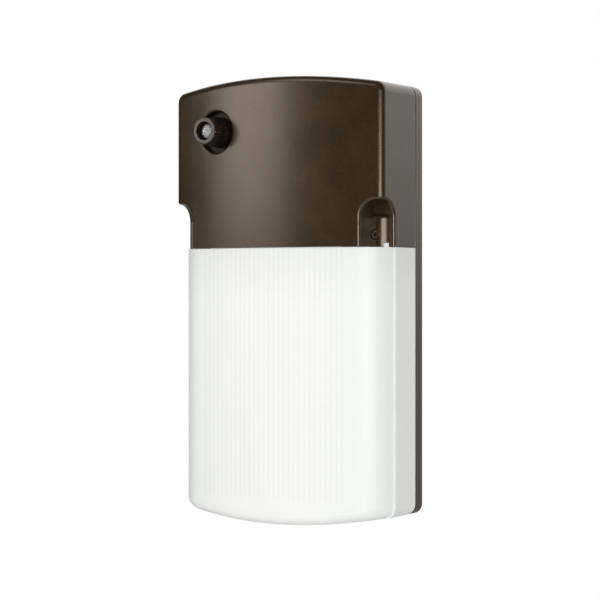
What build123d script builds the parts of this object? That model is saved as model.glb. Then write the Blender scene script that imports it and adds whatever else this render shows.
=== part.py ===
from build123d import *
import os
from math import asin, cos, pi, sin, sqrt

# Wall pack light: a shallow cast housing on the wall carries the gear and the lamp,
# and one front, made of a cast cover and an opal lens, is held to it by two captive screws.
# Millimetres. X runs to the right, Y into the wall, Z up.
# The origin lies on the wall face, half way up the housing.

# ---- the body as a whole ----
body_width = 165.0
body_height = 300.0
top_rise = 7.0               # how far the top arch climbs above the two top corners
bottom_rise = 8.5            # how far the bottom arch drops below the two bottom corners
housing_depth = 10.0
seam_gap = 0.6               # open line between the housing and the front
side_depth = 43.8            # depth of the front at its left and right edges
bow = 10.2                   # how much further the front stands out in the middle
body_corner = 7.0            # rounding of the four corners seen from the front
joint_height = 36.0          # where the lens ends and the cover begins
joint_gap = 0.4
contact_gap = 0.05           # between pieces that touch
loose_gap = 0.3              # between pieces that only pass each other

# ---- housing ----
floor_thickness = 3.0
rim_wall = 4.0
housing_edge = 1.2
groove_inset = 1.2
groove_width = 1.7
groove_depth = 1.0
blind_floor = 1.0            # metal left behind a tapped hole
wall_hole_radius = 2.75
wall_hole_from_side = 11.0
wall_hole_from_end = 21.0
box_screw_spacing = 88.9     # screw spacing of a common wiring box
box_slot_length = 14.0
box_slot_radius = 2.5
wire_hole_radius = 11.1      # a half inch knockout
wire_hole_z = 62.0

# ---- cover ----
cover_wall = 3.0
cover_edge = 5.0

# ---- pockets in the cover's two lower corners, each with a rounded column in it ----
pocket_width = 15.8          # from the cover's side to the pocket's upright edge
pocket_depth = 15.0          # from the front edge of the cover's side to the pocket's back wall
pocket_height = 30.5
pocket_arch_front = 11.0     # rounding of the pocket's top, seen from the front
pocket_arch_side = 12.0      # and seen from the side
pocket_edge = 2.0
column_from_side = 2.2
column_setback = 10.4        # from the front edge of the cover's side to the column's front
column_height = 21.0
column_corner = 10.0
column_edge = 2.5

# ---- lens ----
lens_inset = 0.8             # the lens face lies this far inside the cover's face
lens_wall = 2.8
lens_corner = 26.0
lens_bottom_edge = 7.0
lens_band_setback = 16.5     # behind this the lens is flush with the cover
rib_pitch = 3.9
rib_radius = 1.6
rib_depth = 0.5
rib_span = 56.0
spigot_wall = 2.5
spigot_foot = 5.0            # overlap of the spigot with the inside of the lens wall
spigot_height = 9.0
spigot_half_length = 52.0
ear_thickness = 3.0
ear_length = 20.0
ear_depth = 22.0

# ---- locating lips that enter the housing ----
lip_wall = 1.6
lip_reach = 2.5
lip_half_length = 55.0
lip_root = 3.0

# ---- captive cover screws, sunk flush in the flat front of each column ----
screw_from_pocket_side = 3.6
screw_from_joint = 8.0
screw_sunk = 0.7             # from the column's front to the face of the screw's head
screw_radius = 2.0
screw_tip = 3.6              # from the wall face to the screw's tip
screw_head_radius = 3.2
screw_head_height = 3.0
screw_head_edge = 0.4
screw_socket_radius = 1.45   # hexagon socket, across its corners
screw_socket_depth = 1.8
screw_travel = 8.0
screw_boss_radius = 4.6
screw_post_radius = 4.3
post_top = 9.8
retainer_radius = 3.4
retainer_thickness = 0.8
retainer_back = 12.0

# ---- lens screws, up through the lens ears into the columns ----
lens_screw_from_column_side = 5.3
lens_screw_from_column_front = 10.0
lens_screw_radius = 1.5
lens_screw_length = 13.0
lens_boss_radius = 3.5
lens_hole_depth = 14.0

# ---- pegs on the lens ears, in notches at the foot of each column ----
peg_from_column_front = 2.0
peg_length = 2.2
peg_height = 2.4             # above the joint
peg_depth = 4.6              # from the column's side inwards
notch_length = 2.8
notch_height = 2.8

# ---- light sensor in the upper left of the cover ----
sensor_from_side = 38.2
sensor_from_top_corner = 35.2
cup_radius = 14.3
cup_depth = 9.0              # below the crown of the bow
cup_wall = 2.5
cup_edge = 1.2
neck_radius = 8.0
neck_length = 12.0           # in front of the cup's floor
neck_bore = 5.6
collar_back_radius = 10.4
collar_front_radius = 9.2
collar_length = 18.8
collar_bore = 6.4
collar_edge = 0.8
knurl_count = 28
knurl_radius = 0.75
sensor_gasket_radius = 10.6
sensor_gasket_thickness = 1.2
window_radius = 5.3
window_length = 6.5
window_seat_depth = 2.0      # how far the window sits down in the neck
window_dome = 2.0
cell_radius = 4.2
cell_thickness = 2.0
sensor_flange_radius = 12.5
sensor_flange_thickness = 3.0
sensor_case_side = 26.0
sensor_case_corner = 2.0
sensor_case_depth = 27.5

# ---- reflector, a bent white sheet ----
sheet = 1.0
reflector_gap = 1.0          # from the housing's rim to the sheet
reflector_from_side = 20.5
reflector_from_end = 17.0
reflector_above_joint = 4.0
reflector_wing = 12.0
shelf_reach = 39.0           # from the back of the sheet to the front of its shelf
shelf_half_width = 50.0
reflector_screw_from_side = 12.0
reflector_screw_from_end = 23.0
reflector_screw_from_shelf = 20.0
reflector_boss_radius = 4.0
m3_radius = 1.5
m3_head_radius = 2.9
m3_head_height = 1.9
m3_length = 7.0

# ---- lamp and its holder ----
lamp_from_sheet = 22.0       # from the back of the sheet to the lamp's axis
holder_width = 37.0
holder_depth = 33.0
holder_height = 27.0
holder_corner = 3.0
holder_roof = 10.0
holder_lid = 2.0             # left above the pins' holes
holder_foot_width = 54.0
holder_foot_depth = 16.5
holder_foot_thickness = 3.0
holder_screw_x = 23.0
holder_screw_length = 6.0
base_side = 27.6
base_corner = 5.0
base_drop = 20.0             # from the shelf down to the base's foot
base_collar_side = 30.0
base_collar_height = 4.0
shelf_opening_gap = 0.5      # round the base's collar
pin_radius = 1.2
pin_length = 6.5
pin_spread = 8.0
tube_radius = 6.0
tube_wall = 1.0
tube_end_round = 5.4
tube_spread = 7.6
tube_length = 127.0
bridge_radius = 3.6
bridge_rise = 15.0           # from the tubes' ends to the bridge between them

# ---- ballast ----
ballast_from_sensor = 6.3    # from the sensor's case
ballast_width = 76.0
ballast_above_holder = 20.0
ballast_height = 40.0
ballast_back = 5.0
ballast_depth = 28.0
ballast_edge = 2.0
ballast_ear_length = 8.0
ballast_ear_height = 16.0
ballast_ear_thickness = 1.2
ballast_ear_corner = 3.0
ballast_ear_hole = 4.0       # from the case to the ear's hole
terminal_inset = 4.0         # from the ballast's left side
terminal_width = 44.0
terminal_height = 4.0
terminal_gap = 4.0           # from the ballast's back
terminal_depth = 18.0
terminal_count = 8

# ---- plug and socket of the sensor ----
plug_width = 14.0
plug_height = 8.0
plug_corner = 1.0
plug_back = 6.5
plug_front = 24.0
socket_wall = 1.6
socket_front = 16.0
socket_above_connectors = 14.0

# ---- leads, connectors and the earth screw ----
lead_radius = 1.0
lead_bend = 3.0
short_bend = 2.0
sensor_lead_pitch = 4.0
black_exit = -3.0            # heights at which the leads leave the socket's side
red_exit = -1.0
white_exit = 1.5
red_lead_y = 14.5
red_entry = 2                # which wire entry of the ballast takes the red lead
connector_length = 20.0
connector_above_shelf = 5.0
connector_open_radius = 5.5
connector_tip_radius = 3.4
connector_tip_round = 1.5
connector_y = 10.0
connector_pair = 2.0         # from a connector's middle to each of two leads in it
black_connector_gap = 4.4    # from the socket's side to the first connector's middle
connector_pitch = 13.0
green_connector_x = 18.0
green_lead_rise = 10.0
lamp_lead_pitch = 4.0
lamp_lead_back = 4.0         # behind the lamp's axis
earth_x = 34.0
earth_above_shelf = 17.0
earth_boss_radius = 4.5
earth_boss_top = 6.5
earth_head_radius = 3.4
earth_head_height = 2.4
earth_ring_radius = 4.0
earth_ring_thickness = 0.8
earth_tongue_width = 3.0
earth_tongue_reach = 7.0

# ---- places worked out from the sizes above ----
half_width = body_width / 2
half_height = body_height / 2
front_back = housing_depth + seam_gap            # back face of the cover and the lens
side_front = housing_depth + side_depth          # front edge of the cover's sides
crown_depth = side_front + bow
joint_low = joint_height - joint_gap             # top face of the lens
ear_low = joint_low - ear_thickness
lens_band_front = side_front - lens_band_setback
boss_root = floor_thickness / 2                  # where the housing's posts start, inside its floor
wall_hole_x = half_width - wall_hole_from_side
wall_hole_z = half_height - wall_hole_from_end

pocket_side = half_width - pocket_width
pocket_back = side_front - pocket_depth
pocket_top = joint_height + pocket_height
column_side = half_width - column_from_side
column_front = side_front - column_setback
column_top = joint_height + column_height
column_low = joint_height - 2 * cover_wall       # the column is cut a little longer than it shows
screw_x = pocket_side + screw_from_pocket_side
screw_z = joint_height + screw_from_joint
screw_seat = column_front - screw_sunk - screw_head_height
screw_boss_back = retainer_back + retainer_thickness + screw_travel + loose_gap
lens_screw_x = column_side - lens_screw_from_column_side
lens_screw_y = column_front - lens_screw_from_column_front
peg_front = column_front - peg_from_column_front
peg_inner = column_side - peg_depth

sensor_x = sensor_from_side - half_width
sensor_z = half_height - sensor_from_top_corner
cup_floor = crown_depth - cup_depth
neck_front = cup_floor + neck_length
collar_front = cup_floor + sensor_gasket_thickness + collar_length
window_back = neck_front - window_seat_depth
window_front = window_back + window_length
flange_front = cup_floor - cup_wall
flange_back = flange_front - sensor_flange_thickness
sensor_case_back = flange_back - sensor_case_depth
socket_side = sensor_x + plug_width / 2 + loose_gap + socket_wall

reflector_back = housing_depth + reflector_gap
reflector_half_width = half_width - reflector_from_side
reflector_low = reflector_from_end - half_height
reflector_shelf = joint_height + reflector_above_joint
shelf_top = reflector_shelf + sheet
shelf_front = reflector_back + shelf_reach
reflector_screw_x = reflector_half_width - reflector_screw_from_side
reflector_screw_low = reflector_low + reflector_screw_from_end
reflector_screw_high = reflector_shelf - reflector_screw_from_shelf
reflector_screw_heights = (reflector_screw_low, reflector_screw_high)
lamp_y = reflector_back + lamp_from_sheet
lamp_opening = base_collar_side + 2 * shelf_opening_gap
holder_top = shelf_top + holder_height
base_top = holder_top - holder_roof - loose_gap
base_low = reflector_shelf - base_drop
tube_low = base_low - tube_length

connector_low = shelf_top + connector_above_shelf
connector_top = connector_low + connector_length
socket_z = connector_top + socket_above_connectors
black_connector_x = socket_side + black_connector_gap
white_connector_x = black_connector_x + connector_pitch
earth_z = shelf_top + earth_above_shelf

ballast_left = sensor_x + sensor_case_side / 2 + ballast_from_sensor
ballast_right = ballast_left + ballast_width
ballast_low = holder_top + ballast_above_holder
ballast_middle = ballast_low + ballast_height / 2
ballast_screw_places = (ballast_left - ballast_ear_hole, ballast_right + ballast_ear_hole)
terminal_left = ballast_left + terminal_inset
terminal_low = ballast_low - terminal_height
terminal_back = ballast_back + terminal_gap


def arch_radius(rise):
    """Radius of an arc that climbs by a rise over half the body's width."""
    return (half_width ** 2 + rise ** 2) / (2 * rise)


bow_radius = arch_radius(bow)
top_radius = arch_radius(top_rise)
bottom_radius = arch_radius(bottom_rise)


def bow_y(x, inset=0.0):
    """Y of the bowed face at x, a given depth under the skin."""
    return bow_radius - crown_depth - sqrt((bow_radius - inset) ** 2 - x ** 2)


def top_z(x, inset=0.0):
    """Z of the top arch at x, a given depth under the skin."""
    return half_height - top_radius + sqrt((top_radius - inset) ** 2 - x ** 2)


def bottom_z(x, inset=0.0):
    """Z of the bottom arch at x, a given depth under the skin."""
    return bottom_radius - half_height - sqrt((bottom_radius - inset) ** 2 - x ** 2)


# ---- plain shapes ----

def box_between(low, high):
    """A box from its lowest corner to its highest corner."""
    size = [b - a for a, b in zip(low, high)]
    middle = [(a + b) / 2 for a, b in zip(low, high)]
    return Pos(*middle) * Box(*size)


def rod_y(x, z, radius, y_front, y_back):
    """A round rod along Y."""
    place = Plane(origin=(x, y_front, z), z_dir=(0, 1, 0))
    return extrude(place * Circle(radius), y_back - y_front)


def rod_z(x, y, radius, z_low, z_high):
    """A round rod along Z."""
    return Pos(x, y, z_low) * extrude(Circle(radius), z_high - z_low)


def facing_front(y_back):
    """A drawing plane whose x is X and whose y is Z, and which extrudes towards the front."""
    return Plane(origin=(0, y_back, 0), x_dir=(1, 0, 0), z_dir=(0, -1, 0))


def arched_slab(inset, y_front, y_back, z_low=None, z_high=None, spare=0.0):
    """Slab with the body's front view. A level that isn't given follows the arch there."""
    half = half_width - inset + spare
    low = bottom_z(half, inset) if z_low is None else z_low
    high = top_z(half, inset) if z_high is None else z_high
    outline = Line((-half, low), (-half, high)) + Line((half, high), (half, low))
    if z_high is None:
        outline += ThreePointArc((-half, high), (0, top_z(0, inset)), (half, high))
    else:
        outline += Line((-half, high), (half, high))
    if z_low is None:
        outline += ThreePointArc((-half, low), (0, bottom_z(0, inset)), (half, low))
    else:
        outline += Line((-half, low), (half, low))
    return extrude(facing_front(y_back) * make_face(outline), y_back - y_front)


def bowed_block(inset, y_back, z_low, z_high, corner=0.0):
    """Upright block with the front's plan: straight sides and a bowed face."""
    half = half_width - inset
    side = bow_y(half, inset)
    outline = Polyline((half, side), (half, y_back), (-half, y_back), (-half, side))
    outline += ThreePointArc((-half, side), (0, bow_y(0, inset)), (half, side))
    face = make_face(outline)
    if corner > 0:
        face = fillet(face.vertices().group_by(Axis.Y)[0], corner)
    return Pos(0, 0, z_low) * extrude(face, z_high - z_low)


def rounded_outline(slab, radius, top=True, bottom=True):
    """Rounds the slab's corners as seen from the front."""
    rows = slab.edges().filter_by(Axis.Y).group_by(Axis.Z)
    corners = (rows[0] if bottom else []) + (rows[-1] if top else [])
    return fillet(corners, radius)


def mirrored(shape):
    """The shape and its mirror image on the other side."""
    return [shape, mirror(shape, about=Plane.YZ)]


def joined(shapes):
    """One shape out of many."""
    whole = shapes[0]
    for shape in shapes[1:]:
        whole += shape
    return whole


def pan_screw(radius, length, head_radius, head_height):
    """Screw along Z with its head's seat at zero and its tip at minus the length."""
    shank = Pos(0, 0, -length) * extrude(Circle(radius), length)
    tip = 0.3 * radius
    shank = chamfer(shank.faces().sort_by(Axis.Z)[0].edges(), tip)
    dome = 0.6 * head_height
    head = extrude(Circle(head_radius), head_height)
    head = fillet(head.faces().sort_by(Axis.Z)[-1].edges(), dome)
    slot_width = 0.3 * head_radius
    slot_length = 1.3 * head_radius
    slot_depth = 0.55 * head_height
    cross = Box(slot_length, slot_width, slot_depth) + Box(slot_width, slot_length, slot_depth)
    return shank + head - Pos(0, 0, head_height - slot_depth / 2) * cross


def screw_in_wall(x, z, y_seat, radius, length, head_radius, head_height):
    """A pan screw driven from the front into the housing."""
    place = Plane(origin=(x, y_seat, z), x_dir=(1, 0, 0), z_dir=(0, -1, 0))
    return place * pan_screw(radius, length, head_radius, head_height)


def lead(points, bend=lead_bend):
    """A round insulated wire along straight runs joined by tangent arcs."""
    if len(points) > 2:
        path = FilletPolyline(*points, radius=bend)
    else:
        path = Line(*points)
    return sweep(Plane(origin=path @ 0, z_dir=path % 0) * Circle(lead_radius), path=path)


# ---- housing ----

def ring(inset, width, y_front, y_back):
    """A closed band that follows the housing's outline."""
    outer = rounded_outline(arched_slab(inset, y_front, y_back), body_corner - inset)
    inner = arched_slab(inset + width, y_front - 1, y_back + 1)
    return outer - rounded_outline(inner, body_corner - inset - width)


def with_post(shell, x, z, radius, top, thread_radius):
    """Adds a round post with a blind hole to the housing's floor."""
    shell += rod_y(x, z, radius, -top, -boss_root)
    return shell - rod_y(x, z, thread_radius + contact_gap, -top - 1, -blind_floor)


def back_housing():
    shell = rounded_outline(arched_slab(0, -housing_depth, 0), body_corner)
    shell = fillet(shell.faces().sort_by(Axis.Y)[-1].edges(), housing_edge)
    shell = fillet(shell.faces().sort_by(Axis.Y)[0].edges(), housing_edge / 2)
    cavity = arched_slab(rim_wall, -housing_depth - 1, -floor_thickness)
    shell -= rounded_outline(cavity, body_corner - rim_wall)
    for x in (-screw_x, screw_x):
        shell = with_post(shell, x, screw_z, screw_post_radius, post_top, screw_radius)
    for x in (-reflector_screw_x, reflector_screw_x):
        for z in reflector_screw_heights:
            shell = with_post(shell, x, z, reflector_boss_radius, reflector_back, m3_radius)
    for x in ballast_screw_places:
        post = ballast_back - ballast_ear_thickness
        shell = with_post(shell, x, ballast_middle, reflector_boss_radius, post, m3_radius)
    shell = with_post(shell, earth_x, earth_z, earth_boss_radius, earth_boss_top, screw_radius)
    for x in (-wall_hole_x, wall_hole_x):
        for z in (-wall_hole_z, wall_hole_z):
            shell -= rod_y(x, z, wall_hole_radius, -floor_thickness - 1, 1)
    slot = SlotOverall(box_slot_length, 2 * box_slot_radius)
    for x in (-box_screw_spacing / 2, box_screw_spacing / 2):
        shell -= extrude(facing_front(1) * Pos(x, wire_hole_z) * slot, floor_thickness + 2)
    shell -= rod_y(0, wire_hole_z, wire_hole_radius, -floor_thickness - 1, 1)
    return shell - ring(groove_inset, groove_width, -housing_depth - 1, groove_depth - housing_depth)


def housing_gasket():
    return ring(groove_inset + contact_gap, groove_width - 2 * contact_gap,
                loose_gap - front_back, groove_depth - housing_depth)


# ---- cover ----

def pocket_space(side, back, top, arch_front, arch_side):
    """The room of the right pocket, open to the front, the side and below."""
    outside = half_width + 5
    ahead = -crown_depth - 5
    below = joint_height - 5
    face = make_face(Polyline((side, below), (side, top), (outside, top), (outside, below), close=True))
    face = fillet(face.vertices().sort_by_distance((side, top))[0], arch_front)
    from_front = extrude(facing_front(-back) * face, -back - ahead)
    edge = make_face(Polyline((ahead, below), (-back, below), (-back, top), (ahead, top), close=True))
    edge = fillet(edge.vertices().sort_by_distance((-back, top))[0], arch_side)
    facing_side = Plane(origin=(side, 0, 0), x_dir=(0, 1, 0), z_dir=(1, 0, 0))
    from_side = extrude(facing_side * edge, outside - side)
    return from_front & from_side


def column_block(inset, z_low):
    """The rounded column in the right pocket, a given depth under its skin."""
    inner = pocket_side - 2 * cover_wall
    side = column_side - inset
    front = inset - column_front
    back = -pocket_back + 2 * cover_wall
    plan = make_face(Polyline((inner, front), (side, front), (side, back), (inner, back), close=True))
    plan = fillet(plan.vertices().sort_by_distance((side, front))[0], column_corner - inset)
    height = column_top - inset - z_low
    block = Pos(0, 0, z_low) * extrude(plan, height)
    top = block.faces().sort_by(Axis.Z)[-1]
    rim = [edge for edge in top.edges() if edge.center().X > inner + 1 and edge.center().Y < back - 1]
    return fillet(rim, column_edge)


def cover_skin():
    """The cover's outside, before its pockets are cut."""
    skin = bowed_block(0, -front_back, joint_height, half_height + 1)
    skin &= arched_slab(0, -crown_depth - 1, -front_back, z_low=joint_height)
    skin = rounded_outline(skin, body_corner, bottom=False)
    ahead = skin.edges().filter_by(lambda edge: edge.center().Y < -front_back - 1)
    above = ahead.filter_by(lambda edge: edge.center().Z > joint_height + 1)
    rim = above.filter_by(Axis.Y, reverse=True)
    return fillet(rim, cover_edge)


def with_pockets(skin):
    """Cuts both pockets and rounds the edges that they make in the skin."""
    pocket = pocket_space(pocket_side, pocket_back, pocket_top, pocket_arch_front, pocket_arch_side)
    pocket -= column_block(0, column_low)
    outside = skin.shells()[0]
    for cut in mirrored(pocket):
        skin -= cut
    mouth = []
    for edge in skin.edges():
        middle = edge.position_at(0.5)
        near_pocket = abs(middle.X) > pocket_side - 1 and joint_height + 0.5 < middle.Z < pocket_top + 1
        if near_pocket and outside.distance_to(Vertex(*middle)) < 0.01:
            mouth.append(edge)
    return fillet(mouth, pocket_edge)


def with_sensor_cup(skin):
    """Sinks the round cup for the light sensor and rounds its rim."""
    skin -= rod_y(sensor_x, sensor_z, cup_radius, -crown_depth - 1, -cup_floor)
    round_wall = skin.faces().filter_by(GeomType.CYLINDER).filter_by(lambda face: is_cup_wall(face))
    rim = round_wall[0].edges().filter_by(lambda edge: edge.geom_type != GeomType.LINE).sort_by(Axis.Y)[0]
    return fillet(rim, cup_edge)


def is_cup_wall(face):
    return abs(face.radius - cup_radius) < 0.01


def cover_hollow():
    """The room inside the cover, which leaves the wall round the pockets and hollows the columns."""
    hollow = bowed_block(cover_wall, 1 - front_back, joint_height - 1, half_height + 1,
                         corner=cover_edge - cover_wall)
    hollow &= rounded_outline(arched_slab(cover_wall, -crown_depth, 1 - front_back, z_low=joint_height - 1),
                              body_corner - cover_wall, bottom=False)
    wall_round = pocket_space(pocket_side - cover_wall, pocket_back - cover_wall, pocket_top + cover_wall,
                              pocket_arch_front + cover_wall, pocket_arch_side + cover_wall)
    wall_round -= column_block(cover_wall, column_low)
    for solid in mirrored(wall_round):
        hollow -= solid
    return hollow - rod_y(sensor_x, sensor_z, cup_radius + cup_wall, -crown_depth, cup_wall - cup_floor)


def locating_lip(z_low=None, z_high=None):
    """A lip inside the front's back edge that enters the housing, at the top or at the bottom."""
    inset = rim_wall + loose_gap
    keep = box_between((-lip_half_length, -crown_depth, -half_height if z_low is None else half_height / 2),
                       (lip_half_length, 0, half_height if z_high is None else -half_height / 2))
    y_front = -front_back - lip_root
    root = arched_slab(cover_wall / 2, y_front, -front_back, z_low, z_high)
    root -= arched_slab(inset + lip_wall, y_front - 1, 1 - front_back, z_low, z_high)
    lip = arched_slab(inset, y_front, lip_reach - front_back, z_low, z_high)
    lip -= arched_slab(inset + lip_wall, y_front - 1, lip_reach - front_back + 1, z_low, z_high)
    return (root + lip) & keep


def screw_boss():
    """The right cover screw's boss, from the column's front to well behind the pocket."""
    boss = rod_y(screw_x, screw_z, screw_boss_radius, -column_front, -screw_boss_back)
    boss &= column_block(0, column_low)
    return boss + rod_y(screw_x, screw_z, screw_boss_radius, -pocket_back, -screw_boss_back)


def peg_notch():
    """The notch at the right column's foot, which the lens's peg stands in."""
    front = -peg_front - loose_gap
    return box_between((peg_inner - loose_gap, front, joint_height - 1),
                       (half_width, front + notch_length, joint_height + notch_height))


def front_cover():
    cover = with_sensor_cup(with_pockets(cover_skin())) - cover_hollow()
    for boss in mirrored(screw_boss()):
        cover += boss
    for x in (-lens_screw_x, lens_screw_x):
        cover += rod_z(x, -lens_screw_y, lens_boss_radius, joint_height, column_top - cover_wall / 2)
    for x in (-lens_screw_x, lens_screw_x):
        cover -= rod_z(x, -lens_screw_y, lens_screw_radius + contact_gap, joint_height - 1,
                       joint_height + lens_hole_depth)
    for x in (-screw_x, screw_x):
        cover -= rod_y(x, screw_z, screw_head_radius + loose_gap, -crown_depth, -screw_seat)
        cover -= rod_y(x, screw_z, screw_radius + loose_gap, -screw_seat - 1, 1 - screw_boss_back)
    for notch in mirrored(peg_notch()):
        cover -= notch
    cover -= rod_y(sensor_x, sensor_z, neck_radius + contact_gap, -cup_floor - 1, 1 - flange_front)
    return cover + locating_lip(z_low=joint_height)


# ---- lens ----

def rounded_bottom(block, radius):
    """Rounds the whole front and side edge of the block's bottom."""
    low = block.edges().filter_by(lambda edge: edge.center().Z < -half_height + 2 * bottom_rise)
    return fillet(low.filter_by(lambda edge: edge.center().Y < -front_back), radius)


def lens_block(inset, y_back, z_high):
    """The lens's body, a given depth under the body's skin."""
    deeper = inset - lens_inset
    block = bowed_block(inset, y_back, -half_height - 1, z_high, lens_corner - deeper)
    block &= arched_slab(inset, -crown_depth - 1, y_back, z_high=z_high, spare=1.0)
    return rounded_bottom(block, lens_bottom_edge - deeper)


def lens_ribs(inset):
    """Upright half-round ribs on the inside of the lens face, evenly spaced along the bow."""
    radius = bow_radius - inset
    step = rib_pitch / radius
    count = int(asin(rib_span / radius) / step)
    ribs = []
    for index in range(-count, count + 1):
        reach = radius - rib_depth + rib_radius
        x = reach * sin(index * step)
        y = bow_radius - crown_depth - reach * cos(index * step)
        ribs.append(rod_z(x, y, rib_radius, -half_height, joint_low))
    return ribs


def lens_spigot():
    """A wall behind the lens's top edge that stands up inside the cover's face."""
    outer = cover_wall + loose_gap
    low = joint_low - spigot_foot
    high = joint_height + spigot_height
    spigot = bowed_block(outer, -front_back, low, high)
    spigot -= bowed_block(outer + spigot_wall, 0, low - 1, high + 1)
    keep = box_between((-spigot_half_length, -crown_depth, low),
                       (spigot_half_length, bow_y(spigot_half_length, outer + spigot_wall), high))
    return spigot & keep


def lens_peg():
    """A peg on the right ear, flush with the column's skin."""
    peg = box_between((peg_inner, -peg_front, ear_low),
                      (half_width, peg_length - peg_front, joint_height + peg_height))
    return peg & column_block(0, column_low)


def lens():
    inner = lens_inset + lens_wall
    body = lens_block(lens_inset, -front_back, joint_low)
    band = arched_slab(0, -lens_band_front, -front_back, z_high=joint_low)
    body += rounded_outline(band, lens_bottom_edge + lens_inset, top=False)
    hollow = lens_block(inner, 1 - front_back, joint_height + 1)
    hollow -= joined(lens_ribs(inner))
    ear = box_between((lens_screw_x - ear_length / 2, -lens_screw_y - ear_depth / 2, ear_low),
                      (half_width, -lens_screw_y + ear_depth / 2, joint_low)) & body
    for ear in mirrored(ear):
        hollow -= ear
    body -= hollow
    for x in (-lens_screw_x, lens_screw_x):
        body -= rod_z(x, -lens_screw_y, lens_screw_radius + loose_gap, ear_low - 1, joint_height)
    for peg in mirrored(lens_peg()):
        body += peg
    return body + lens_spigot() + locating_lip(z_high=joint_low)


def lens_screws():
    screw = pan_screw(lens_screw_radius, lens_screw_length, m3_head_radius, m3_head_height)
    upward = Plane(origin=(lens_screw_x, -lens_screw_y, ear_low), x_dir=(1, 0, 0), z_dir=(0, 0, -1))
    return Compound(children=mirrored(upward * screw))


# ---- captive cover screws ----

def cover_screw(x):
    """Cap screw with a flat head and a hexagon socket."""
    tip = 0.3 * screw_radius
    shank = rod_y(x, screw_z, screw_radius, -screw_seat, -screw_tip)
    shank = chamfer(shank.faces().sort_by(Axis.Y)[-1].edges(), tip)
    face = screw_seat + screw_head_height
    head = rod_y(x, screw_z, screw_head_radius, -face, -screw_seat)
    head = fillet(head.faces().sort_by(Axis.Y)[0].edges(), screw_head_edge)
    hexagon = Pos(x, screw_z) * RegularPolygon(screw_socket_radius, 6)
    socket = extrude(facing_front(screw_socket_depth - face) * hexagon, screw_socket_depth + 1)
    return shank + head - socket


def screw_retainer(x):
    disc = rod_y(x, screw_z, retainer_radius, -retainer_back - retainer_thickness, -retainer_back)
    return disc - rod_y(x, screw_z, screw_radius + contact_gap, -screw_seat, 0)


# ---- light sensor ----

def sensor_gasket():
    back = -cup_floor
    disc = rod_y(sensor_x, sensor_z, sensor_gasket_radius, back - sensor_gasket_thickness, back)
    return disc - rod_y(sensor_x, sensor_z, neck_radius + contact_gap, -collar_front, 0)


def sensor_collar():
    """The knurled nut that shows in the cup: a tapered tube with grooves down its length."""
    back = -cup_floor - sensor_gasket_thickness
    length = collar_front + back
    place = Plane(origin=(sensor_x, back, sensor_z), x_dir=(1, 0, 0), z_dir=(0, -1, 0))
    collar = loft([place * Circle(collar_back_radius), place.offset(length) * Circle(collar_front_radius)])
    collar = fillet(collar.faces().sort_by(Axis.Y)[0].edges(), collar_edge)
    slope = (collar_back_radius - collar_front_radius) / length
    for index in range(knurl_count):
        turn = 2 * pi * index / knurl_count
        start = (collar_back_radius + knurl_radius / 2, -1)
        end = (collar_front_radius + knurl_radius / 2 - slope, length + 1)
        low = place.from_local_coords((start[0] * cos(turn), start[0] * sin(turn), start[1]))
        high = place.from_local_coords((end[0] * cos(turn), end[0] * sin(turn), end[1]))
        groove = Plane(origin=low, z_dir=high - low) * Circle(knurl_radius)
        collar -= extrude(groove, (high - low).length)
    collar -= rod_y(sensor_x, sensor_z, neck_radius + contact_gap, -neck_front - loose_gap, 0)
    return collar - rod_y(sensor_x, sensor_z, collar_bore, -collar_front - 1, 0)


def sensor_window():
    """Clear plug with a domed face, seated in the neck."""
    rod = rod_y(sensor_x, sensor_z, window_radius, -window_front, -window_back)
    return fillet(rod.faces().sort_by(Axis.Y)[0].edges(), window_dome)


def sensor_cell():
    return rod_y(sensor_x, sensor_z, cell_radius, -window_back, cell_thickness - window_back)


def sensor_body():
    """Threaded neck, flange and case in one moulding, put in from inside the cover."""
    body = rod_y(sensor_x, sensor_z, neck_radius, -neck_front, -flange_back)
    body += rod_y(sensor_x, sensor_z, sensor_flange_radius, -flange_front, -flange_back)
    side = sensor_case_side / 2
    case = box_between((sensor_x - side, -flange_back, sensor_z - side),
                       (sensor_x + side, -sensor_case_back, sensor_z + side))
    body += fillet(case.edges().filter_by(Axis.Y), sensor_case_corner)
    return body - rod_y(sensor_x, sensor_z, neck_bore, -neck_front - 1, cell_thickness - window_back)


# ---- reflector ----

def reflector():
    """White sheet bent into a back, two wings and a shelf with the lamp's opening."""
    back = -reflector_back
    front = back - sheet
    half = reflector_half_width
    tray = box_between((-half, front, reflector_low), (half, back, shelf_top))
    wing = box_between((half - sheet, back - reflector_wing, reflector_low),
                       (half, back, reflector_shelf - sheet))
    for side in mirrored(wing):
        tray += side
    tray += box_between((-shelf_half_width, -shelf_front, reflector_shelf),
                        (shelf_half_width, back, shelf_top))
    tray -= box_between((-lamp_opening / 2, -lamp_y - lamp_opening / 2, reflector_shelf - 1),
                        (lamp_opening / 2, -lamp_y + lamp_opening / 2, shelf_top + 1))
    for x in (-reflector_screw_x, reflector_screw_x):
        for z in reflector_screw_heights:
            tray -= rod_y(x, z, m3_radius + loose_gap, front - 1, 0)
    for x in (-holder_screw_x, holder_screw_x):
        tray -= rod_z(x, -lamp_y, m3_radius + loose_gap, reflector_shelf - 1, shelf_top + 1)
    return tray


def reflector_screws():
    screws = []
    for x in (-reflector_screw_x, reflector_screw_x):
        for z in reflector_screw_heights:
            screws.append(screw_in_wall(x, z, -reflector_back - sheet, m3_radius, m3_length,
                                        m3_head_radius, m3_head_height))
    return Compound(children=screws)


# ---- lamp and its holder ----

def upright_block(width, depth, corner, z_low, z_high):
    """A block on the lamp's axis with rounded upright edges."""
    return Pos(0, -lamp_y, z_low) * extrude(RectangleRounded(width, depth, corner), z_high - z_low)


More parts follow.
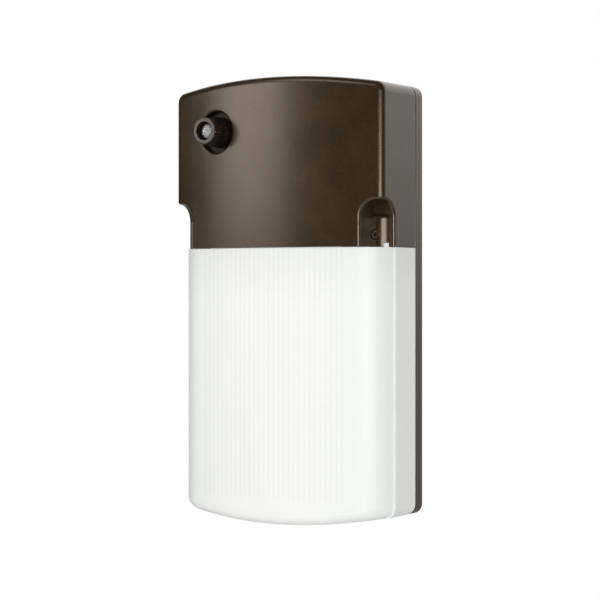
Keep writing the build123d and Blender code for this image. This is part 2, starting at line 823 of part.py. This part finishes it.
def lamp_pins(radius, z_low, z_high):
    pins = []
    for x in (-pin_spread, pin_spread):
        for y in (-pin_spread / 2, pin_spread / 2):
            pins.append(rod_z(x, y - lamp_y, radius, z_low, z_high))
    return pins


def lamp_holder():
    holder = upright_block(holder_width, holder_depth, holder_corner, shelf_top, holder_top)
    foot_top = shelf_top + holder_foot_thickness
    holder += upright_block(holder_foot_width, holder_foot_depth, holder_corner, shelf_top, foot_top)
    room = base_side + 2 * loose_gap
    holder -= upright_block(room, room, base_corner, shelf_top - 1, holder_top - holder_roof)
    for hole in lamp_pins(pin_radius + loose_gap, shelf_top, holder_top - holder_lid):
        holder -= hole
    for x in (-holder_screw_x, holder_screw_x):
        holder -= rod_z(x, -lamp_y, m3_radius + contact_gap, shelf_top - 1, foot_top + 1)
    return holder


def holder_screws():
    """Screws up through the shelf into the holder's feet."""
    screw = pan_screw(m3_radius, holder_screw_length, m3_head_radius, m3_head_height)
    upward = Plane(origin=(holder_screw_x, -lamp_y, reflector_shelf), x_dir=(1, 0, 0), z_dir=(0, 0, -1))
    return Compound(children=mirrored(upward * screw))


def lamp_base():
    base = upright_block(base_side, base_side, base_corner, base_low, base_top)
    collar_low = base_low + base_collar_height
    base += upright_block(base_collar_side, base_collar_side, base_corner, base_low, collar_low)
    return base


def lamp_contacts():
    return Compound(children=lamp_pins(pin_radius, base_top, base_top + pin_length))


def lamp_tubes():
    """Two glass hairpins side by side, hanging from the base."""
    hairpins = []
    for x in (-tube_spread, tube_spread):
        legs = []
        for y in (-tube_spread, tube_spread):
            leg = rod_z(x, y - lamp_y, tube_radius, tube_low, base_low)
            legs.append(fillet(leg.faces().sort_by(Axis.Z)[0].edges(), tube_end_round))
        bridge_z = tube_low + bridge_rise
        bridge = rod_y(x, bridge_z, bridge_radius, -lamp_y - tube_spread, tube_spread - lamp_y)
        hairpin = legs[0] + legs[1] + bridge
        for y in (-tube_spread, tube_spread):
            hairpin -= rod_z(x, y - lamp_y, tube_radius - tube_wall, tube_low + tube_radius, base_low)
        hairpins.append(hairpin)
    return Compound(children=hairpins)


# ---- ballast ----

def ballast():
    case = box_between((ballast_left, -ballast_back - ballast_depth, ballast_low),
                       (ballast_right, -ballast_back, ballast_low + ballast_height))
    case = fillet(case.edges().filter_by(lambda edge: edge.center().Y < -ballast_back - 1), ballast_edge)
    half = ballast_ear_height / 2
    ears = box_between((ballast_left - ballast_ear_length, -ballast_back, ballast_middle - half),
                       (ballast_right + ballast_ear_length, ballast_ear_thickness - ballast_back,
                        ballast_middle + half))
    case += fillet(ears.edges().filter_by(Axis.Y), ballast_ear_corner)
    for x in ballast_screw_places:
        case -= rod_y(x, ballast_middle, m3_radius + loose_gap, -ballast_back - 1, 0)
    return case


def ballast_screws():
    length = ballast_back - boss_root
    screws = []
    for x in ballast_screw_places:
        screws.append(screw_in_wall(x, ballast_middle, -ballast_back, m3_radius, length,
                                    m3_head_radius, m3_head_height))
    return Compound(children=screws)


def terminal_x(index):
    """X of one of the evenly spaced wire entries along the terminal strip."""
    return terminal_left + terminal_width * (index + 0.5) / terminal_count


def ballast_terminals():
    return box_between((terminal_left, -terminal_back - terminal_depth, terminal_low),
                       (terminal_left + terminal_width, -terminal_back, ballast_low))


# ---- plug and socket of the sensor ----

def sensor_plug():
    half = plug_width / 2
    height = plug_height / 2
    plug = box_between((sensor_x - half, -plug_front, socket_z - height),
                       (sensor_x + half, -plug_back, socket_z + height))
    return fillet(plug.edges().filter_by(Axis.Y), plug_corner)


def sensor_socket():
    """A box open to the front that the plug slides into, on a foot that stands on the housing's floor."""
    half = plug_width / 2 + loose_gap
    height = plug_height / 2 + loose_gap
    tall = height + socket_wall
    outside = half + socket_wall
    shell = box_between((sensor_x - outside, -socket_front, socket_z - tall),
                        (sensor_x + outside, -floor_thickness, socket_z + tall))
    return shell - box_between((sensor_x - half, -socket_front - 1, socket_z - height),
                               (sensor_x + half, loose_gap - plug_back, socket_z + height))


def sensor_leads():
    """Three leads from the bottom of the sensor's case to the plug's face."""
    bottom = sensor_z - sensor_case_side / 2
    y = -plug_front - 2 * lead_bend
    leads = []
    for step in (-1, 0, 1):
        x = sensor_x + step * sensor_lead_pitch
        leads.append(lead([(x, y, bottom), (x, y, socket_z), (x, -plug_front, socket_z)]))
    return Compound(children=leads)


# ---- leads, connectors and the earth screw ----

def socket_to_connector(x, height):
    """A lead from the socket's side, along the housing and down into a connector."""
    z = socket_z + height
    return lead([(socket_side, -connector_y, z), (x, -connector_y, z), (x, -connector_y, connector_top)])


def black_lead():
    return socket_to_connector(black_connector_x, black_exit)


def white_leads():
    x = white_connector_x + connector_pair
    from_ballast = lead([(x, -connector_y, terminal_low), (x, -connector_y, connector_top)])
    from_socket = socket_to_connector(white_connector_x - connector_pair, white_exit)
    return Compound(children=[from_socket, from_ballast])


def red_lead():
    x = terminal_x(red_entry)
    y = -red_lead_y
    z = socket_z + red_exit
    return lead([(socket_side, y, z), (x, y, z), (x, y, terminal_low)], bend=short_bend)


def green_lead():
    y = -earth_boss_top - earth_ring_thickness - lead_radius
    high = connector_top + green_lead_rise
    return lead([(earth_x, y, earth_z + earth_ring_radius), (earth_x, y, high),
                 (green_connector_x, -connector_y, high), (green_connector_x, -connector_y, connector_top)])


def lamp_leads():
    """Four leads from the ballast down into the lamp holder."""
    y_top = -terminal_back - terminal_depth / 2
    y_low = lamp_lead_back - lamp_y
    run = (terminal_low - holder_top) / 3
    leads = []
    for index in range(4):
        x_top = terminal_x(terminal_count - 4 + index)
        x_low = lamp_lead_pitch * (index - 1.5)
        leads.append(lead([(x_top, y_top, terminal_low), (x_top, y_top, terminal_low - run),
                           (x_low, y_low, holder_top + run), (x_low, y_low, holder_top)], bend=short_bend))
    return Compound(children=leads)


def wire_connectors():
    """Twist-on connectors, open end up."""
    connectors = []
    for x in (black_connector_x, white_connector_x, green_connector_x):
        low = Plane(origin=(x, -connector_y, connector_low)) * Circle(connector_tip_radius)
        high = Plane(origin=(x, -connector_y, connector_top)) * Circle(connector_open_radius)
        cone = loft([low, high])
        connectors.append(fillet(cone.faces().sort_by(Axis.Z)[0].edges(), connector_tip_round))
    return Compound(children=connectors)


def earth_ring():
    back = -earth_boss_top
    front = back - earth_ring_thickness
    half = earth_tongue_width / 2
    tongue_top = earth_z + earth_tongue_reach
    terminal = rod_y(earth_x, earth_z, earth_ring_radius, front, back)
    terminal += box_between((earth_x - half, front, earth_z), (earth_x + half, back, tongue_top))
    return terminal - rod_y(earth_x, earth_z, screw_radius + loose_gap, front - 1, 0)


def earth_screw():
    seat = earth_boss_top + earth_ring_thickness
    return screw_in_wall(earth_x, earth_z, -seat, screw_radius, seat - boss_root,
                         earth_head_radius, earth_head_height)


parts = {
    "back_housing": back_housing(),
    "housing_gasket": housing_gasket(),
    "reflector": reflector(),
    "reflector_screws": reflector_screws(),
    "ballast": ballast(),
    "ballast_terminals": ballast_terminals(),
    "ballast_screws": ballast_screws(),
    "lamp_holder": lamp_holder(),
    "holder_screws": holder_screws(),
    "lamp_leads": lamp_leads(),
    "wire_connectors": wire_connectors(),
    "black_lead": black_lead(),
    "white_leads": white_leads(),
    "red_lead": red_lead(),
    "green_lead": green_lead(),
    "earth_ring": earth_ring(),
    "earth_screw": earth_screw(),
    "sensor_socket": sensor_socket(),
    "front_cover": front_cover(),
    "lens": lens(),
    "lens_screws": lens_screws(),
    "sensor_body": sensor_body(),
    "sensor_collar": sensor_collar(),
    "sensor_gasket": sensor_gasket(),
    "sensor_window": sensor_window(),
    "sensor_cell": sensor_cell(),
    "sensor_leads": sensor_leads(),
    "sensor_plug": sensor_plug(),
    "cover_screw_left": cover_screw(-screw_x),
    "screw_retainer_left": screw_retainer(-screw_x),
    "cover_screw_right": cover_screw(screw_x),
    "screw_retainer_right": screw_retainer(screw_x),
    "lamp_base": lamp_base(),
    "lamp_contacts": lamp_contacts(),
    "lamp_tubes": lamp_tubes(),
}

os.makedirs("parts", exist_ok=True)
for name, shape in parts.items():
    export_step(shape, f"parts/{name}.step")
    print(f"{name}: {len(shape.solids())} solids, {shape.volume:.0f} cubic mm")
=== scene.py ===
import math

import bpy
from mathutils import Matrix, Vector

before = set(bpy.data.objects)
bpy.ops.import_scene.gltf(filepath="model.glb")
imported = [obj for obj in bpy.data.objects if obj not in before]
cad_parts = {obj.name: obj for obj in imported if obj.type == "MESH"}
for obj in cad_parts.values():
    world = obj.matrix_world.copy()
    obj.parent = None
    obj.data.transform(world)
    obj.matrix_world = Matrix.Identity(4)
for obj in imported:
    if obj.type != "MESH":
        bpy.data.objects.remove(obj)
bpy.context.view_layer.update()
print("frame loaded:", len(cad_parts), "nodes")

# Wall pack light: bronze painted housing and cover, opal lens, light sensor in the upper left.
# Metres. X right, Y into the wall, Z up, origin on the wall face half way up the housing.


# ---- camera: level, right of the light, a long lens ----
cameraPlace = {
    "at": (0.6841, -1.1102, 0.0107),
    "azimuth": 32.2,         # degrees round from straight in front, towards the right side
    "lens": 112.5,           # mm on a 36 mm sensor
    "shiftUp": -0.0247,
}


def placeCamera(place):
    data = bpy.data.cameras.new("camera")
    data.lens = place["lens"]
    data.sensor_width = 36.0
    data.shift_y = place["shiftUp"]
    data.clip_start = 0.05
    data.clip_end = 60.0
    camera = bpy.data.objects.new("camera", data)
    bpy.context.scene.collection.objects.link(camera)
    turn = math.radians(place["azimuth"])
    ahead = Vector((-math.sin(turn), math.cos(turn), 0.0))
    camera.location = place["at"]
    camera.rotation_euler = ahead.to_track_quat("-Z", "Y").to_euler()
    bpy.context.scene.camera = camera


placeCamera(cameraPlace)


# ---- short ways to build a material's nodes ----
class Finish:
    # a Principled surface, and the few nodes that drive it from Object coordinates
    def __init__(self, name, **plain):
        self.material = bpy.data.materials.new(name)
        self.material.use_nodes = True
        self.nodes = self.material.node_tree.nodes
        self.links = self.material.node_tree.links
        self.shader = self.nodes["Principled BSDF"]
        self.place = self.nodes.new("ShaderNodeTexCoord").outputs["Object"]
        for socket, value in plain.items():
            self.shader.inputs[socket.replace("_", " ")].default_value = value

    def join(self, source, target):
        self.links.new(source, target)

    def math(self, kind, first, second=0.0):
        node = self.nodes.new("ShaderNodeMath")
        node.operation = kind
        for socket, value in zip(node.inputs, (first, second)):
            if isinstance(value, (int, float)):
                socket.default_value = value
            else:
                self.join(value, socket)
        return node.outputs[0]

    def stretched(self, scale):
        # the coordinates, scaled on each axis, so a pattern can run long one way
        node = self.nodes.new("ShaderNodeMapping")
        node.inputs["Scale"].default_value = scale
        self.join(self.place, node.inputs["Vector"])
        return node.outputs[0]

    def noise(self, size, detail=3.0, rough=0.5, place=None):
        # mottling whose blobs are about size metres across
        node = self.nodes.new("ShaderNodeTexNoise")
        node.inputs["Scale"].default_value = 1.0 / size
        node.inputs["Detail"].default_value = detail
        node.inputs["Roughness"].default_value = rough
        self.join(place or self.place, node.inputs["Vector"])
        return node.outputs["Fac"]

    def cells(self, size):
        node = self.nodes.new("ShaderNodeTexVoronoi")
        node.inputs["Scale"].default_value = 1.0 / size
        self.join(self.place, node.inputs["Vector"])
        return node

    def span(self, value, low, high, fromLow=0.3, fromHigh=0.7):
        # value, from one range to another, held inside the new one
        node = self.nodes.new("ShaderNodeMapRange")
        limits = (("From Min", fromLow), ("From Max", fromHigh), ("To Min", low), ("To Max", high))
        for socket, number in limits:
            node.inputs[socket].default_value = number
        self.join(value, node.inputs["Value"])
        return node.outputs["Result"]

    def ramp(self, value, *stops):
        # colours along value; each stop is (place, red, green, blue)
        node = self.nodes.new("ShaderNodeValToRGB")
        elements = node.color_ramp.elements
        while len(elements) < len(stops):
            elements.new(0.5)
        for element, stop in zip(elements, stops):
            element.position = stop[0]
            element.color = (*stop[1:], 1.0)
        self.join(value, node.inputs["Fac"])
        return node.outputs["Color"]

    def colour(self, source):
        self.join(source, self.shader.inputs["Base Color"])

    def rough(self, source):
        self.join(source, self.shader.inputs["Roughness"])

    def bump(self, height, depth, before=None):
        # depth is the real height of the relief in metres
        node = self.nodes.new("ShaderNodeBump")
        node.inputs["Strength"].default_value = 1.0
        node.inputs["Distance"].default_value = depth
        self.join(height, node.inputs["Height"])
        if before:
            self.join(before, node.inputs["Normal"])
        self.join(node.outputs["Normal"], self.shader.inputs["Normal"])
        return node.outputs["Normal"]

    def split(self):
        node = self.nodes.new("ShaderNodeSeparateXYZ")
        self.join(self.place, node.inputs[0])
        return node.outputs


def shade(value):
    # a colour as a screen shows it, 0 to 255, to the linear colour that a shader takes
    def one(level):
        level = level / 255.0
        return level / 12.92 if level <= 0.04045 else ((level + 0.055) / 1.055) ** 2.4
    return tuple(one(level) for level in value)


# ---- bronze powder coat on the cast housing and cover, with painted shade inside the sensor's cup ----
bronze = {
    "dark": (44, 31, 17),
    "middle": (51, 37, 22),
    "light": (59, 44, 28),
    "sheen": (1.0, 0.76, 0.54),
    "roughness": (0.27, 0.33),
    "coat": 0.4,
    "coatRoughness": 0.24,
    "peel": 0.0011,          # width of the paint's orange peel
    "peelDepth": 0.000004,
    "grit": 0.00035,
    "gritDepth": 0.0000012,
    "cloud": 0.03,
    "mottle": 0.0016,
    "cup": (-0.0443, 0.1148),    # X and Z of the sensor's cup, whose inside gets painted shade and less gloss
    "cupRadius": 0.0141,
    "cupFace": -0.0598,
    "cupFloor": -0.0548,
    "cupBlend": 0.0006,      # over this length the cup's painted shade gives way to the rest
    "cupGloss": 0.12,
    "gloss": 0.5,
    # painted shade: the colour inside the sensor's cup
    "cupPaintedShade": (17, 12, 7),
}


def bronzePaint(look):
    paint = Finish("bronzePaint", IOR=1.58, Coat_Roughness=look["coatRoughness"])
    paint.shader.inputs["Specular Tint"].default_value = (*look["sheen"], 1.0)
    clouds = paint.noise(look["cloud"], 4.0, 0.6)
    fine = paint.noise(look["mottle"], 2.0)
    # this mask is 0 inside the cup, where shade is painted into the colour, and 1 elsewhere: beyond its
    # radius, in front of its rim or behind its floor
    x, y, z = paint.split()
    across = paint.math("SUBTRACT", x, look["cup"][0])
    up = paint.math("SUBTRACT", z, look["cup"][1])
    reach = paint.math("SQRT", paint.math("ADD", paint.math("MULTIPLY", across, across),
                                          paint.math("MULTIPLY", up, up)))
    outside = paint.span(reach, 0.0, 1.0, look["cupRadius"], look["cupRadius"] + look["cupBlend"])
    ahead = paint.span(y, 1.0, 0.0, look["cupFace"], look["cupFace"] + look["cupBlend"])
    behind = paint.span(y, 0.0, 1.0, look["cupFloor"], look["cupFloor"] + look["cupBlend"])
    clearOfCupShade = paint.math("MAXIMUM", outside, paint.math("MAXIMUM", ahead, behind))
    blend = paint.math("ADD", paint.math("MULTIPLY", clouds, 0.5), paint.math("MULTIPLY", fine, 0.5))
    # inside the cup the ramp's darkest stop paints the shade
    paint.colour(paint.ramp(paint.math("MULTIPLY", blend, clearOfCupShade), (0.1, *shade(look["cupPaintedShade"])),
                            (0.36, *shade(look["dark"])), (0.5, *shade(look["middle"])),
                            (0.64, *shade(look["light"]))))
    paint.join(paint.span(clearOfCupShade, look["cupGloss"], look["gloss"], 0.0, 1.0),
               paint.shader.inputs["Specular IOR Level"])
    paint.join(paint.math("MULTIPLY", clearOfCupShade, look["coat"]), paint.shader.inputs["Coat Weight"])
    paint.rough(paint.span(clouds, *look["roughness"]))
    peel = paint.bump(paint.noise(look["peel"], 1.0), look["peelDepth"])
    paint.bump(paint.noise(look["grit"], 1.0), look["gritDepth"], peel)
    return paint.material


# ---- opal lens: milky acrylic with fine upright ribs inside its front, painted shade along the ribs, and a painted glow in place of light through it ----
lens = {
    "colour": (236, 238, 235),
    "bowRadius": 0.3379,     # of the lens front, about an upright line behind the light
    "bowCentre": 0.2747,
    "ribPitch": 0.0039,
    "ribSpan": 0.056,        # ribs end this far either side of the middle
    "ribFoot": (-0.135, -0.130),     # heights between which the ribs fade in
    "ribDepth": 0.00003,
    # how much darker the ribs are painted: painted shade along them
    "ribPaintedShade": 0.93,
    "glowMiddle": (255, 251, 248),
    "glowSides": (200, 204, 202),
    "glowWidth": (0.03, 0.075),      # distances from the middle between which it turns to the sides' colour
    "glowStrength": 0.14,    # tuned, in place of light that passes through the plastic
    "glowTop": (0.0, 0.036, 0.4),    # heights between which the painted glow fades to painted shade near the top, and what is left of it
    "ribGlow": 0.07,
}


def opalLens(look):
    milk = Finish("opalLens", IOR=1.49, Roughness=0.4, Specular_IOR_Level=0.3)
    x, y, z = milk.split()
    angle = milk.math("ARCTAN2", x, milk.math("SUBTRACT", look["bowCentre"], y))
    ribs = milk.math("MULTIPLY", angle, 2.0 * math.pi * look["bowRadius"] / look["ribPitch"])
    wave = milk.math("MULTIPLY", milk.math("ADD", milk.math("COSINE", ribs), 1.0), 0.5)
    line = milk.math("POWER", wave, 4.0)
    inside = milk.span(milk.math("ABSOLUTE", x), 1.0, 0.0, look["ribSpan"] - 0.001, look["ribSpan"])
    above = milk.span(z, 0.0, 1.0, *look["ribFoot"])
    ribbed = milk.math("MULTIPLY", milk.math("MULTIPLY", line, inside), above)
    haze = milk.noise(0.02, 3.0)
    tone = milk.math("ADD", milk.math("MULTIPLY", ribbed, 0.5), milk.math("MULTIPLY", haze, 0.3))
    pale = shade(look["colour"])
    ribShadedColour = [level * look["ribPaintedShade"] for level in pale]
    milk.colour(milk.ramp(tone, (0.1, *pale), (0.8, *ribShadedColour)))
    milk.bump(ribbed, look["ribDepth"])
    # painted glow: warm in the middle, cooler towards the sides
    sideways = milk.span(milk.math("ABSOLUTE", x), 0.0, 1.0, *look["glowWidth"])
    milk.join(milk.ramp(sideways, (0.0, *shade(look["glowMiddle"])), (1.0, *shade(look["glowSides"]))),
              milk.shader.inputs["Emission Color"])
    low, high, left = look["glowTop"]
    fade = milk.span(z, 1.0, left, low, high)
    # the ribs glow a little less: more painted shade along them
    between = milk.math("SUBTRACT", 1.0, milk.math("MULTIPLY", ribbed, look["ribGlow"]))
    fade = milk.math("MULTIPLY", fade, between)
    milk.join(milk.math("MULTIPLY", fade, look["glowStrength"]), milk.shader.inputs["Emission Strength"])
    return milk.material


# ---- the sensor: dark moulded collar, clear window, ceramic cell ----
collar = {"dark": (24, 17, 12), "light": (46, 36, 29), "sheen": (1.0, 0.84, 0.74),
          "roughness": (0.2, 0.32)}


def collarPlastic(look):
    plastic = Finish("collarPlastic", IOR=1.55)
    plastic.shader.inputs["Specular Tint"].default_value = (*look["sheen"], 1.0)
    specks = plastic.noise(0.0012, 4.0)
    plastic.colour(plastic.ramp(specks, (0.35, *shade(look["dark"])), (0.7, *shade(look["light"]))))
    plastic.rough(plastic.span(specks, *look["roughness"]))
    plastic.bump(plastic.noise(0.0005, 2.0), 0.000012)
    return plastic.material


window = {"tint": (240, 244, 242), "roughness": 0.03, "flow": 0.004}


def windowClear(look):
    clear = Finish("windowClear", IOR=1.49, Transmission_Weight=0.75)
    clear.shader.inputs["Base Color"].default_value = (*shade(look["tint"]), 1.0)
    clear.shader.inputs["Roughness"].default_value = look["roughness"]
    clear.bump(clear.noise(look["flow"], 1.0), 0.00004)
    return clear.material


cell = {"ceramic": (240, 238, 230), "track": (196, 170, 140), "pitch": 0.0013}


def cellCeramic(look):
    # a light cell's face: a folded brown track on pale ceramic
    face = Finish("cellCeramic", Roughness=0.25, Coat_Weight=1.0, Coat_Roughness=0.05)
    x, y, z = face.split()
    run = face.math("SINE", face.math("MULTIPLY", z, 2.0 * math.pi / look["pitch"]))
    face.colour(face.ramp(face.span(run, 0.0, 1.0, 0.1, 0.35), (0.0, *shade(look["ceramic"])),
                          (1.0, *shade(look["track"]))))
    face.bump(face.noise(0.0004, 2.0), 0.00001)
    return face.material


def mouldedPlastic(name, dark, light, roughness, grain=0.0006, depth=0.00001):
    # moulded parts inside: two near tones, a fine moulding texture
    plastic = Finish(name, IOR=1.5)
    tone = plastic.noise(0.006, 4.0, 0.6)
    plastic.colour(plastic.ramp(tone, (0.35, *shade(dark)), (0.65, *shade(light))))
    plastic.rough(plastic.span(tone, *roughness))
    plastic.bump(plastic.noise(grain, 2.0), depth)
    return plastic.material


def leadSheath(name, dark, light):
    # lead insulation: soft sheen, faint drawing marks along it
    sheath = Finish(name, IOR=1.48)
    tone = sheath.noise(0.003, 3.0)
    sheath.colour(sheath.ramp(tone, (0.35, *shade(dark)), (0.65, *shade(light))))
    sheath.rough(sheath.span(tone, 0.34, 0.46))
    sheath.bump(sheath.noise(0.0007, 2.0), 0.000012)
    return sheath.material


def platedMetal(name, dark, light, roughness, brush=(1.0, 1.0, 1.0)):
    # plated or bare metal with a little staining, and fine marks along one axis
    metal = Finish(name, Metallic=1.0)
    stain = metal.noise(0.004, 4.0, 0.6)
    metal.colour(metal.ramp(stain, (0.3, *shade(dark)), (0.7, *shade(light))))
    marks = metal.noise(0.0006, 2.0, 0.5, metal.stretched(brush))
    metal.rough(metal.span(marks, *roughness))
    metal.bump(marks, 0.000006)
    return metal.material


enamel = {"dark": (226, 226, 218), "light": (243, 243, 238)}


def whiteEnamel(look):
    coat = Finish("whiteEnamel", IOR=1.5, Coat_Weight=0.4, Coat_Roughness=0.12)
    tone = coat.noise(0.02, 4.0, 0.6)
    coat.colour(coat.ramp(tone, (0.35, *shade(look["dark"])), (0.65, *shade(look["light"]))))
    coat.rough(coat.span(tone, 0.28, 0.4))
    coat.bump(coat.noise(0.0012, 1.0), 0.000008)
    return coat.material


ballast = {"dark": (138, 141, 143), "light": (176, 179, 180), "spangle": 0.006}


def ballastCase(look):
    # galvanised steel: flat spangles, each a little lighter or darker
    steel = Finish("ballastCase", Metallic=0.85)
    spangles = steel.cells(look["spangle"])
    shadeOf = steel.nodes.new("ShaderNodeSeparateColor")
    steel.join(spangles.outputs["Color"], shadeOf.inputs[0])
    steel.colour(steel.ramp(shadeOf.outputs[0], (0.1, *shade(look["dark"])), (0.9, *shade(look["light"]))))
    steel.rough(steel.span(shadeOf.outputs[1], 0.32, 0.5, 0.0, 1.0))
    steel.bump(steel.noise(0.0008, 2.0), 0.000006)
    return steel.material


def sealRubber():
    rubber = Finish("sealRubber", IOR=1.5)
    tone = rubber.noise(0.002, 4.0)
    rubber.colour(rubber.ramp(tone, (0.35, *shade((22, 21, 20))), (0.7, *shade((38, 37, 35)))))
    rubber.rough(rubber.span(tone, 0.6, 0.78))
    rubber.bump(rubber.noise(0.0006, 3.0), 0.00003)
    return rubber.material


def lampGlass():
    # phosphor coated tubes: milky, with a coating that varies a little at random
    glass = Finish("lampGlass", IOR=1.5, Coat_Weight=1.0, Coat_Roughness=0.03, Roughness=0.5)
    coating = glass.noise(0.01, 3.0)
    glass.colour(glass.ramp(coating, (0.3, *shade((232, 230, 222))), (0.7, *shade((246, 245, 240)))))
    glass.bump(glass.noise(0.001, 2.0), 0.000005)
    return glass.material


slotMaterials = {
    "bronze_paint": bronzePaint(bronze),
    "opal_lens": opalLens(lens),
    "collar_plastic": collarPlastic(collar),
    "window_clear": windowClear(window),
    "cell_ceramic": cellCeramic(cell),
    "seal_rubber": sealRubber(),
    "white_enamel": whiteEnamel(enamel),
    "ballast_case": ballastCase(ballast),
    "lamp_glass": lampGlass(),
    "zinc_steel": platedMetal("zincSteel", (168, 170, 166), (205, 206, 198), (0.24, 0.4)),
    "cover_screw_steel": bronzePaint(bronze),    # painted like the cover
    "tinned_brass": platedMetal("tinnedBrass", (188, 184, 170), (214, 211, 198), (0.2, 0.34)),
    "green_screw": platedMetal("greenScrew", (24, 96, 48), (46, 128, 70), (0.28, 0.42)),
    "nylon": mouldedPlastic("nylon", (214, 212, 204), (230, 229, 222), (0.35, 0.5)),
    "terminal_plastic": mouldedPlastic("terminalPlastic", (206, 206, 200), (226, 226, 220), (0.4, 0.55)),
    "holder_plastic": mouldedPlastic("holderPlastic", (222, 221, 214), (236, 236, 230), (0.36, 0.5)),
    "connector_plastic": mouldedPlastic("connectorPlastic", (196, 82, 14), (222, 104, 26), (0.36, 0.5)),
    "connector_white": mouldedPlastic("connectorWhite", (218, 217, 208), (234, 233, 226), (0.36, 0.5)),
    "sensor_plastic": mouldedPlastic("sensorPlastic", (30, 29, 28), (42, 41, 39), (0.42, 0.56)),
    "lamp_lead_sheath": leadSheath("lampLeadSheath", (30, 62, 148), (42, 78, 170)),
    "black_sheath": leadSheath("blackSheath", (20, 20, 20), (32, 32, 31)),
    "white_sheath": leadSheath("whiteSheath", (216, 215, 208), (232, 231, 226)),
    "red_sheath": leadSheath("redSheath", (150, 24, 20), (176, 36, 30)),
    "green_sheath": leadSheath("greenSheath", (24, 104, 46), (38, 130, 62)),
}


def dressNodes(materials):
    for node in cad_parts.values():
        for holder in node.material_slots:
            holder.material = materials[holder.material.name.split(".")[0]]


dressNodes(slotMaterials)
print("finishes on", len(slotMaterials), "slots")


# ---- floor, backdrop and lamps ----
floor = {"height": -0.42, "radius": 1.2, "tone": 0.8, "lift": 0.45}


def paleFloor(look):
    # a flat round floor below the light, seen near white by the camera alone, and clear from below
    bpy.ops.mesh.primitive_circle_add(vertices=96, radius=look["radius"], fill_type="NGON",
                                      location=(0.0, -0.03, look["height"]))
    plane = bpy.context.object
    plane.name = "floor"
    paper = Finish("paleFloor", Roughness=0.9)
    paper.shader.inputs["Base Color"].default_value = (look["tone"], look["tone"], look["tone"], 1.0)
    paper.shader.inputs["Emission Color"].default_value = (1.0, 1.0, 1.0, 1.0)
    light = paper.nodes.new("ShaderNodeLightPath")
    paper.join(paper.math("MULTIPLY", light.outputs["Is Camera Ray"], look["lift"]),
               paper.shader.inputs["Emission Strength"])
    facing = paper.nodes.new("ShaderNodeNewGeometry").outputs["Backfacing"]
    paper.join(paper.math("SUBTRACT", 1.0, facing), paper.shader.inputs["Alpha"])
    plane.data.materials.append(paper.material)


studio = {
    "fill": 0.32,            # what the plain room gives to every surface
    "front": 0.005,          # what glossy surfaces see in front of the light
    "behind": 1.0,           # and behind it, where the white backdrop is
    "edge": (0.2, 0.6),     # the backdrop comes in between these, on the Y axis
    "climb": (-0.02, 0.16),  # the backdrop brightens between these heights
    "climbGain": (0.45, 1.3),
}


def whiteRoom(look):
    # white to the camera; glossy and clear surfaces see the backdrop behind and a dim room in front
    world = bpy.data.worlds.new("room")
    world.use_nodes = True
    bpy.context.scene.world = world
    nodes, links = world.node_tree.nodes, world.node_tree.links
    background = nodes["Background"]
    background.inputs["Color"].default_value = (1.0, 1.0, 1.0, 1.0)
    ray = nodes.new("ShaderNodeLightPath").outputs
    direction = nodes.new("ShaderNodeSeparateXYZ")
    links.new(nodes.new("ShaderNodeTexCoord").outputs["Generated"], direction.inputs[0])
    backdrop = nodes.new("ShaderNodeMapRange")
    backdrop.interpolation_type = "SMOOTHSTEP"
    for socket, value in (("From Min", look["edge"][0]), ("From Max", look["edge"][1]),
                          ("To Min", look["front"]), ("To Max", look["behind"])):
        backdrop.inputs[socket].default_value = value
    links.new(direction.outputs["Y"], backdrop.inputs["Value"])
    climb = nodes.new("ShaderNodeMapRange")
    for socket, value in (("From Min", look["climb"][0]), ("From Max", look["climb"][1]),
                          ("To Min", look["climbGain"][0]), ("To Max", look["climbGain"][1])):
        climb.inputs[socket].default_value = value
    links.new(direction.outputs["Z"], climb.inputs["Value"])
    risen = nodes.new("ShaderNodeMath")
    risen.operation = "MULTIPLY"
    links.new(backdrop.outputs["Result"], risen.inputs[0])
    links.new(climb.outputs["Result"], risen.inputs[1])

    def pick(test, other, chosen):
        node = nodes.new("ShaderNodeMix")
        links.new(test, node.inputs["Factor"])
        for socket, value in zip(("A", "B"), (other, chosen)):
            if isinstance(value, float):
                node.inputs[socket].default_value = value
            else:
                links.new(value, node.inputs[socket])
        return node.outputs["Result"]

    glossy = pick(ray["Is Glossy Ray"], look["fill"], risen.outputs[0])
    clear = pick(ray["Is Transmission Ray"], glossy, backdrop.outputs["Result"])
    seen = pick(ray["Is Camera Ray"], clear, 1.0)
    links.new(seen, background.inputs["Strength"])


# azimuth as for the camera, level above the horizon, both in degrees; brightness is the panel's own radiance
lamps = {
    "rightPanel": {"azimuth": 42, "level": -1, "away": 1.5, "width": 0.9, "height": 0.3, "brightness": 12.0},
    "leftPanel": {"azimuth": -38, "level": 14, "away": 1.6, "width": 0.6, "height": 0.62, "brightness": 4.1},
    "topPanel": {"azimuth": -22, "level": 46, "away": 1.5, "width": 0.8, "height": 0.5, "brightness": 2.4},
}


def hangLamp(name, look):
    data = bpy.data.lights.new(name, "AREA")
    data.shape = "RECTANGLE"
    data.size = look["width"]
    data.size_y = look["height"]
    data.energy = look["brightness"] * math.pi * look["width"] * look["height"]
    lamp = bpy.data.objects.new(name, data)
    bpy.context.scene.collection.objects.link(lamp)
    turn, level = math.radians(look["azimuth"]), math.radians(look["level"])
    out = Vector((math.sin(turn) * math.cos(level), -math.cos(turn) * math.cos(level), math.sin(level)))
    lamp.location = out * look["away"]
    lamp.rotation_euler = (-out).to_track_quat("-Z", "Y").to_euler()
    lamp.visible_camera = False


paleFloor(floor)
whiteRoom(studio)
for lampName, lampLook in lamps.items():
    hangLamp(lampName, lampLook)
bpy.context.scene.view_settings.view_transform = "Standard"
print("stage set:", len(lamps), "lamps")
